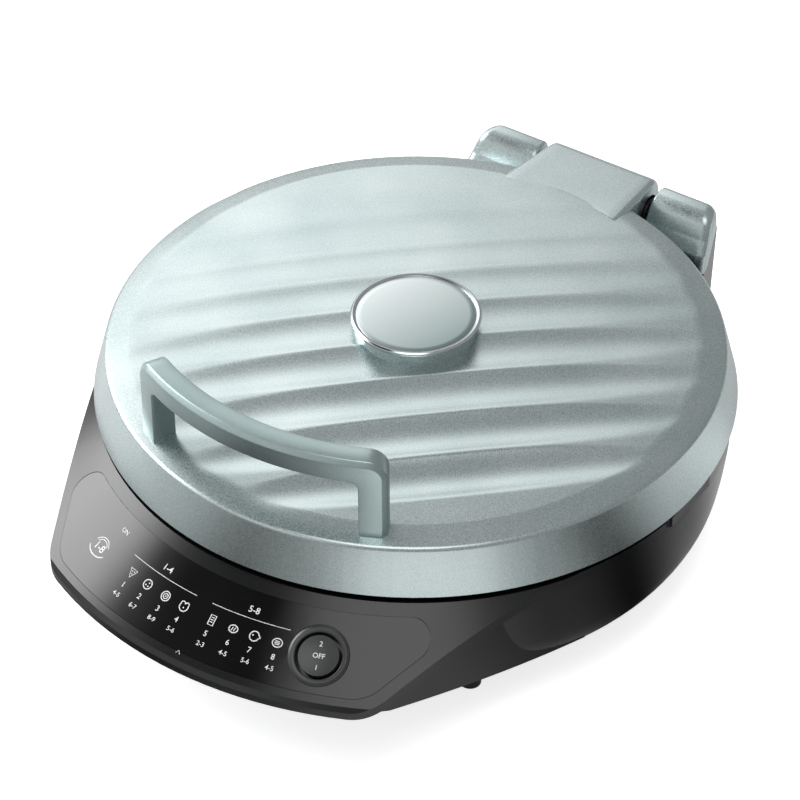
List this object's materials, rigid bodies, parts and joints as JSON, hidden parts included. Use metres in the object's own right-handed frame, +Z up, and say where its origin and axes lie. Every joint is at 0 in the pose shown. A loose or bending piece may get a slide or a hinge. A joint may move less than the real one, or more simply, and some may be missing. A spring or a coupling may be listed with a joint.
{
  "type": "electric baking pan",
  "caption": "Round countertop electric baking pan with a rippled silver hinged lid, arched lid handle, sloping control deck and dark base.",
  "frame": {"origin": "centre of the bounding box on the table plane under the feet", "axes": "+Z up, the control deck and handle face -Y, the hinge is at +Y, +X is the user's right"},
  "size_m": [0.34, 0.4116, 0.163],
  "materials": {
    "badge_chrome": "polished ring",
    "badge_face": "glossy silver face",
    "black_plastic": "fine satin texture",
    "brass_contacts": "plated contacts",
    "clip_steel": "zinc plated",
    "film_gloss": "smooth printed film",
    "foot_rubber": "soft matte",
    "heater_sheath": "dull drawn sheath",
    "lamp": "clear red lens",
    "lead_rubber": "insulated leads",
    "nonstick": "die-cast aluminium with a dark non-stick coat",
    "pin_steel": "ground bright",
    "screw_steel": "zinc plated",
    "shield_metal": "bright rolled sheet",
    "silver_paint": "metallic silver paint, fine grain, over a moulded lid",
    "switch_black": "half gloss",
    "thermostat_ceramic": "white ceramic",
    "white_plastic": "plain"
  },
  "bodies": {
    "base": {"lower_housing": "black_plastic", "upper_housing": "black_plastic", "bottom_cover": "black_plastic", "bottom_cover_screws": "screw_steel", "rubber_feet": "foot_rubber", "foot_screws": "screw_steel", "housing_screws": "screw_steel", "control_film": "film_gloss", "power_lamp": "lamp", "switch_bezel": "switch_black", "switch_case": "black_plastic", "switch_terminals": "brass_contacts", "lower_grill_plate": "nonstick", "lower_heating_element": "heater_sheath", "lower_element_clips": "clip_steel", "lower_heat_shield": "shield_metal", "lower_thermostat": "thermostat_ceramic", "thermal_fuse": "brass_contacts", "power_inlet": "black_plastic", "inlet_pins": "brass_contacts", "terminal_block": "white_plastic", "base_leads": "lead_rubber", "ear_cap_left": "silver_paint", "ear_cap_right": "silver_paint"},
    "hinge_carriage": {"hinge_pin": "pin_steel", "hinge_slides": "black_plastic"},
    "lid": {"lid_shell": "silver_paint", "lid_handle": "silver_paint", "handle_screws": "screw_steel", "badge_ring": "badge_chrome", "badge_disc": "badge_face", "lid_inner_frame": "black_plastic", "frame_screws": "screw_steel", "hinge_bracket": "black_plastic", "bracket_screws": "screw_steel", "upper_heat_shield": "shield_metal", "upper_heating_element": "heater_sheath", "upper_element_clips": "clip_steel", "upper_grill_plate": "nonstick", "upper_thermostat": "thermostat_ceramic"},
    "upper_latch": {"upper_latch": "black_plastic"},
    "lower_latch_left": {"lower_latch_left": "black_plastic"},
    "lower_latch_right": {"lower_latch_right": "black_plastic"},
    "switch_rocker": {"switch_rocker": "switch_black"}
  },
  "joints": [
    {"name": "lid_float", "type": "slide", "parent": "base", "child": "hinge_carriage", "axis": [0, 0, 1], "range_m": [0, 0.003]},
    {"name": "lid_hinge", "type": "hinge", "parent": "hinge_carriage", "child": "lid", "pos_m": [0, 0.19125, 0.098], "axis": [-1, 0, 0], "range_deg": [0, 105]},
    {"name": "switch_rock", "type": "hinge", "parent": "base", "child": "switch_rocker", "pos_m": [0.06313, -0.16902, 0.06034], "axis": [0.9432, 0.3322, 0], "range_deg": [-8, 8]},
    {"name": "lower_latch_left_slide", "type": "slide", "parent": "base", "child": "lower_latch_left", "axis": [-1, 0, 0], "range_m": [0, 0.003]},
    {"name": "lower_latch_right_slide", "type": "slide", "parent": "base", "child": "lower_latch_right", "axis": [1, 0, 0], "range_m": [0, 0.003]},
    {"name": "upper_latch_slide", "type": "slide", "parent": "lid", "child": "upper_latch", "axis": [0, -1, 0], "range_m": [0, 0.003]}
  ]
}
